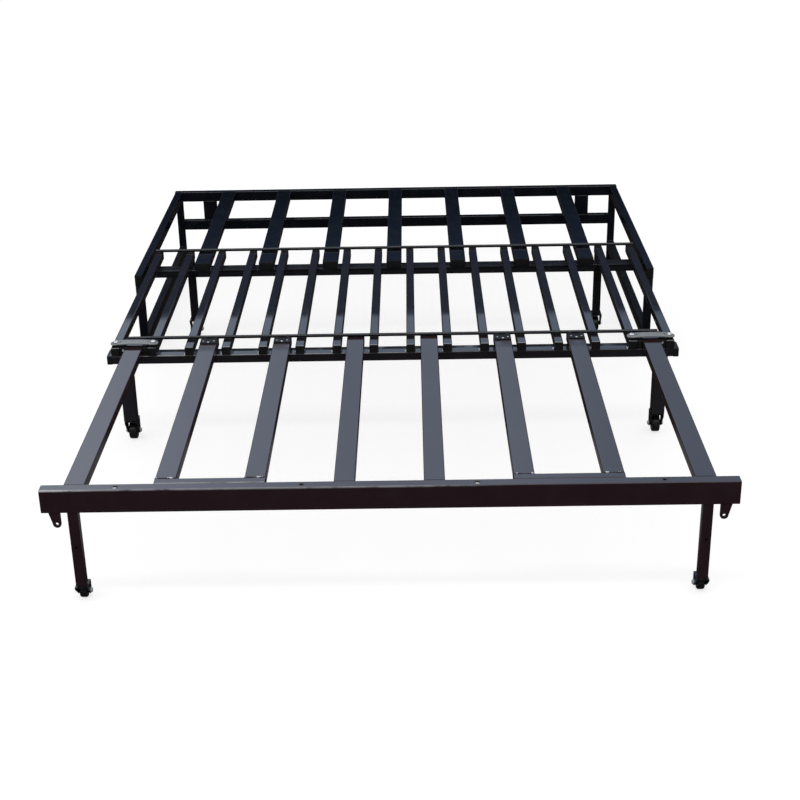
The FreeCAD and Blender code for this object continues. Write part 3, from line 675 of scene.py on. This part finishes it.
def bowedStrap():
    # a rounded oblong carried along the strap: round in plan at both ends, and bowed up to the middle
    at = strapShape
    along = -at["half"] * np.cos(np.linspace(0, math.pi, at["rings"]))
    past = np.maximum(np.abs(along) - (at["half"] - at["wide"] / 2), 0)
    half = np.maximum(np.sqrt(np.maximum((at["wide"] / 2) ** 2 - past ** 2, 0)), at["least"])[:, None]
    lift = at["base"] + at["plate"] / 2 + at["bow"] * (1 - (along / at["half"]) ** 2)
    angle = np.linspace(0, fullTurn, at["around"], endpoint=False)
    reach = squared(angle, at["square"])
    x = np.repeat(along[:, None], at["around"], axis=1)
    y = at["y"] + half * reach * np.cos(angle)
    z = lift[:, None] + at["plate"] / 2 * reach * np.sin(angle)
    return np.stack([x, y, z], axis=-1)[None] * mm


def makeStraps():
    # a strap over each outer slat, on two black spacers under two zinc bolts, with two rivets between them
    at = strapShape
    for side, sign in (("left", -1), ("right", 1)):
        strap = bowedStrap() + np.array((sign * at["middle"] * mm, 0, 0))
        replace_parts(makePiece(f"{side}_bowed_strap", [strap], strapSteel, "middle_section"),
                    f"bridge_strap_{side}")
    bolts, rivets = ([sign * at["middle"] + off for sign in (-1, 1)
                      for off in (-shape["spread"], shape["spread"])] for shape in (boltShape, rivetShape))
    up = facing((0, 0, 1), len(bolts))
    makePiece("strap_bolts", [setDown(panHead(boltShape), spots(bolts, at["y"], boltShape["z"]), up)], zinc,
              "middle_section")
    spacer = turned(spacerShape["profile"], spacerShape["around"]) * mm
    dark = [setDown(spacer, spots(bolts, at["y"], deck), up),
            setDown(panHead(rivetShape), spots(rivets, at["y"], rivetShape["z"]), up)]
    makePiece("strap_spacers", dark, plugPlastic, "middle_section")
    places = spots([-guideScrew["x"], guideScrew["x"]], guideScrew["y"], guideScrew["z"])
    makePiece("guide_screws", [setDown(panHead(guideScrew), places, facing((0, -1, 0), len(places)))], zinc,
              "middle_section")


def makeBracketScrews():
    # one screw in the middle of each rod plate and a smaller one on both sides of it
    beside = (shortSlats[:, None] + np.array((-1, 1)) * sideScrew["spacing"]).ravel()
    grids = [setDown(panHead(at), spots(xs, at["y"], at["z"]), facing((0, 0, 1), len(xs)))
             for at, xs in ((screwShape, shortSlats), (sideScrew, beside))]
    makePiece("bracket_screws", grids, zinc, "front_section")


eyeletShape = dict(y=-973.5, xs=(-515, -165, 165, 515), around=40,
                   profile=[(6.0, -0.15, 0), (5.9, 0.02, 0), (5.2, 0.42, 0), (4.5, 0.66, 0), (3.85, 0.60, 0),
                            (3.48, 0.25, 0), (3.40, -0.3, 0), (3.42, -2.6, 0)])


def makeHoleLips():
    # the lip that the punch leaves round each screw hole, one closed outline turned round it
    at = eyeletShape
    grid = setDown(turned(at["profile"], at["around"]) * mm, spots(at["xs"], at["y"], frontTop),
                   facing((0, 0, 1), len(at["xs"])))
    makePiece("rail_hole_lips", [grid], warmPaint, "front_section", hooped=True)


makeStraps()
makeBracketScrews()
makeHoleLips()
print("bolts and screws in")

casterRows = dict(front=dict(x=599, y=-973.5, trail=14, radius=14.5, hub=20, tread=15),
                  middle=dict(x=620, y=-268, trail=18, radius=21, hub=25, tread=18),
                  rear=dict(x=552.5, y=382, trail=18, radius=21, hub=25, tread=18))
wheelShape = dict(around=84, spokes=6, swell=1.7, cheek=2.5, sharp=1.6, thin=0.4, sink=0.35)
nutShape = dict(around=36,
                profile=[(5.2, -0.2, 0), (5.3, 0.6, 0), (5.0, 0.8, 0), (4.9, 0.8, 1), (4.9, 2.7, 1),
                         (4.5, 3.1, 0.7), (3.5, 3.25, 0), (3.1, 3.3, 0), (2.7, 3.6, 0), (1.2, 3.8, 0)])


def castWheel(size):
    # the outline of hub, web and tread turned round the axle; its third column is how far the web there swells
    # into spokes with the angle
    rim, hub, side = size["radius"], -size["hub"] / 2, -size["tread"] / 2
    outline = [(3.2, hub, 0), (5.2, hub, 0), (5.7, hub + 0.5, 0), (6.0, -5.6, 0), (6.4, -5.2, 0.2),
               (7.0, -4.4, 1), (rim - 5.6, -4.4, 1), (rim - 4.9, -5.2, 0.2), (rim - 4.5, side + 0.8, 0),
               (rim - 4.0, side + 0.2, 0), (rim - 2.8, side, 0), (rim - 1.4, side + 0.6, 0),
               (rim - 0.4, side + 1.8, 0), (rim - 0.05, side + 3.2, 0), (rim, -2.0, 0)]
    radius, across, web = np.array(outline, float).T
    radius = np.concatenate([radius, radius[::-1]])
    across = np.concatenate([across, -across[::-1]])
    web = np.concatenate([-web, web[::-1]])
    angle = np.linspace(0, fullTurn, wheelShape["around"], endpoint=False)
    wave = wheelShape["sharp"] * np.cos(wheelShape["spokes"] * angle) - wheelShape["thin"]
    spoke = np.clip(wave, 0, 1) - wheelShape["sink"]
    reach = np.repeat(radius[:, None], wheelShape["around"], axis=1)
    wide = across[:, None] + wheelShape["swell"] * web[:, None] * spoke
    return np.stack([reach * np.cos(angle), reach * np.sin(angle), wide], axis=-1) * mm


def makeCasterDetails():
    # a spoked wheel in each fork, and a nut on both ends of its axle
    nut = turned(nutShape["profile"], nutShape["around"]) * mm
    for row, size in casterRows.items():
        wheel = castWheel(size)
        cheek = (size["hub"] / 2 + wheelShape["cheek"]) * mm
        for side, sign in (("left", -1), ("right", 1)):
            label = f"{row}_{side}"
            axle = spots([sign * size["x"]], size["y"] + size["trail"], size["radius"])
            piece = makePiece(f"{label}_spoked_wheel", [setDown(wheel, axle, facing((1, 0, 0), 1))],
                              wheelPlastic, f"{label}_roller")
            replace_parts(piece, f"{label}_wheel")
            ends = [setDown(nut, axle + np.array((way * cheek, 0, 0)), facing((way, 0, 0), 1))
                    for way in (-1, 1)]
            makePiece(f"{label}_axle_nuts", ends, dullZinc, f"{label}_caster")


makeCasterDetails()
print("casters dressed")

# stage in metres: pale floor, white surroundings, a long lamp overhead, and cards that only reflections see
floorLook = dict(colour=(0.36, 0.36, 0.36, 1), half=30.0, lift=0.725)
worldLook = dict(colour=(1, 1, 1, 1), fill=0.80)
trayLook = dict(radius=3.0, square=7.0, sides=96, base=0.0005, height=1.446,
                mat=(0.018, 0.015, 0.015, 1), strip=(0.12, 0.12, 0.12, 1), stripRise=(-0.9, -0.65),
                stripFall=(-0.35, -0.2),
                wall=[(0.0, (0.30, 0.30, 0.30, 1)), (0.35, (0.12, 0.12, 0.12, 1)),
                      (0.52, (0.005, 0.011, 0.022, 1)), (0.60, (0.007, 0.014, 0.027, 1)),
                      (0.82, (0.044, 0.066, 0.121, 1)), (1.0, (0.055, 0.085, 0.135, 1))])
skyLook = dict(wide=8.0, high=8.0, back=6.0, span=2.6, fade=(2.5, 4.1), dim=0.70, cloud=(0.9, 3.0),
               cloudLow=0.91, cloudSpan=0.18,
               stops=[(0.0, (1.46, 1.69, 2.03, 1)), (0.22, (1.06, 1.26, 1.60, 1)),
                      (0.42, (0.80, 0.98, 1.30, 1)), (0.62, (0.83, 1.02, 1.34, 1)),
                      (0.78, (0.61, 0.79, 1.07, 1)), (1.0, (0.54, 0.70, 0.95, 1))])


def seenDirect(wire):
    # 1 for rays of the camera, of reflections and of transmission, 0 for the rest
    kinds = [wire.node("ShaderNodeLightPath", out=kind) for kind in
             ("Is Camera Ray", "Is Glossy Ray", "Is Transmission Ray")]
    return wire.math("MINIMUM", kinds[0] + kinds[1] + kinds[2], 1.0)


def stageObject(name, points, faces, material):
    mesh = bpy.data.meshes.new(name)
    mesh.from_pydata(points, [], faces)
    mesh.materials.append(material)
    made = bpy.data.objects.new(name, mesh)
    bpy.context.scene.collection.objects.link(made)
    return made


def floorFinish():
    material, wire = newMaterial("floorPale")
    plain = wire.node("ShaderNodeBsdfDiffuse", None, {"Color": floorLook["colour"]})
    glow = wire.node("ShaderNodeEmission", None, {"Strength": floorLook["lift"] * seenDirect(wire)})
    both = wire.node("ShaderNodeAddShader", None, {0: plain, 1: glow})
    wire.node("ShaderNodeOutputMaterial", None, {"Surface": both})
    return material


def cardFinish(name, glowOf):
    material, wire = newMaterial(name)
    glow = wire.node("ShaderNodeEmission", None, glowOf(wire, objectSpot(wire)))
    wire.node("ShaderNodeOutputMaterial", None, {"Surface": glow})
    return material


def skyGlow(wire, spot):
    # brighter to the left, as a clear sky beside the light, and to the top; place is 0 to 1 over the span
    look = skyLook
    place = alongAxis(wire, spot, "X") * (0.5 / look["span"]) + 0.5
    cloud = look["cloudLow"] + look["cloudSpan"] * noise(wire, spot, *look["cloud"])
    height = ramp(wire, alongAxis(wire, spot, "Z"), *look["fade"])
    return {"Color": wire.node("ShaderNodeValToRGB", {"stops": look["stops"]}, {"Fac": place}),
            "Strength": cloud * (look["dim"] + (1 - look["dim"]) * height)}


def matGlow(wire, spot):
    # dark, with a paler strip across the floor under the front slats
    along = alongAxis(wire, spot, "Y")
    strip = ramp(wire, along, *trayLook["stripRise"]) * (1 - ramp(wire, along, *trayLook["stripFall"]))
    return {"Color": blend(wire, strip, trayLook["mat"], trayLook["strip"])}


def wallGlow(wire, spot):
    # grey at the floor, dark in the middle, a little lighter to its upper edge
    rise = alongAxis(wire, spot, "Z") * (1 / trayLook["height"])
    return {"Color": wire.node("ShaderNodeValToRGB", {"stops": trayLook["wall"]}, {"Fac": rise})}


def onlyReflected(made):
    made.visible_camera = False
    made.visible_diffuse = False
    made.visible_transmission = False
    made.visible_shadow = False


def makeFloor():
    far = floorLook["half"]
    corners = [(-far, -far, 0), (far, -far, 0), (far, far, 0), (-far, far, 0)]
    stageObject("floor", corners, [(0, 1, 2, 3)], floorFinish())


def makeTray():
    # a rounded square just over the floor, and a wall that goes straight up from its edge
    count = trayLook["sides"]
    angle = np.linspace(0, fullTurn, count, endpoint=False)
    reach = trayLook["radius"] * squared(angle, trayLook["square"])
    ring = np.stack([reach * np.cos(angle), reach * np.sin(angle), np.zeros(count)], axis=-1)
    base = ring + np.array((0, 0, trayLook["base"]))
    top = ring + np.array((0, 0, trayLook["height"]))
    onlyReflected(stageObject("dark_mat", base.tolist(), [list(range(count))], cardFinish("matDark", matGlow)))
    index = np.arange(count)
    beside = np.roll(index, -1)
    wall = np.stack([index, beside, beside + count, index + count], axis=-1).tolist()
    onlyReflected(stageObject("dark_wall", np.concatenate([base, top]).tolist(), wall,
                              cardFinish("wallDark", wallGlow)))


def makeSky():
    wide, high, back = skyLook["wide"], skyLook["high"], skyLook["back"]
    corners = [(-wide, back, 0), (wide, back, 0), (wide, back, high), (-wide, back, high)]
    onlyReflected(stageObject("sky_card", corners, [(0, 1, 2, 3)], cardFinish("skyPale", skyGlow)))


def makeWorld():
    world = bpy.data.worlds.new("studio")
    bpy.context.scene.world = world
    world.use_nodes = True
    world.node_tree.nodes.clear()
    wire = Wire(world.node_tree)
    fill = worldLook["fill"]
    sky = wire.node("ShaderNodeBackground", None,
                    {"Color": worldLook["colour"], "Strength": fill + (1 - fill) * seenDirect(wire)})
    wire.node("ShaderNodeOutputWorld", None, {"Surface": sky})


keyLamp = dict(power=34, long=5.0, wide=0.4, place=(-0.8, -1.8, 3.25), aim=(-0.1, -0.2, 0.2))


def makeLamp():
    data = bpy.data.lights.new("key", "AREA")
    data.shape = "RECTANGLE"
    data.size = keyLamp["long"]
    data.size_y = keyLamp["wide"]
    data.energy = keyLamp["power"]
    lamp = bpy.data.objects.new("key", data)
    ahead = (Vector(keyLamp["aim"]) - Vector(keyLamp["place"])).normalized()
    side = Vector((1, 0, 0)) - ahead * ahead.x
    side.normalize()
    turn = Matrix((side, (-ahead).cross(side), -ahead)).transposed().to_4x4()
    lamp.matrix_world = Matrix.Translation(keyLamp["place"]) @ turn
    bpy.context.scene.collection.objects.link(lamp)


# the photo's camera: tilt is down, yaw to the right, and roll lifts its right side, in degrees
shot = dict(lens=66.68, sensor=36, tilt=24.429, yaw=-0.618, roll=-1.067, place=(0.0496, -3.4361, 1.5359))


def makeCamera():
    tilt, yaw, roll = (math.radians(shot[key]) for key in ("tilt", "yaw", "roll"))
    ahead = Vector((math.sin(yaw) * math.cos(tilt), math.cos(yaw) * math.cos(tilt), -math.sin(tilt)))
    level = Vector((math.cos(yaw), -math.sin(yaw), 0))
    above = level.cross(ahead)
    right = level * math.cos(roll) + above * math.sin(roll)
    up = above * math.cos(roll) - level * math.sin(roll)
    data = bpy.data.cameras.new("camera")
    data.sensor_width = shot["sensor"]
    data.lens = shot["lens"]
    camera = bpy.data.objects.new("camera", data)
    turn = Matrix((right, up, -ahead)).transposed().to_4x4()
    camera.matrix_world = Matrix.Translation(shot["place"]) @ turn
    bpy.context.scene.collection.objects.link(camera)
    bpy.context.scene.camera = camera


makeFloor()
makeTray()
makeSky()
makeWorld()
makeLamp()
makeCamera()
bpy.context.scene.view_settings.view_transform = "Standard"
print("stage set")
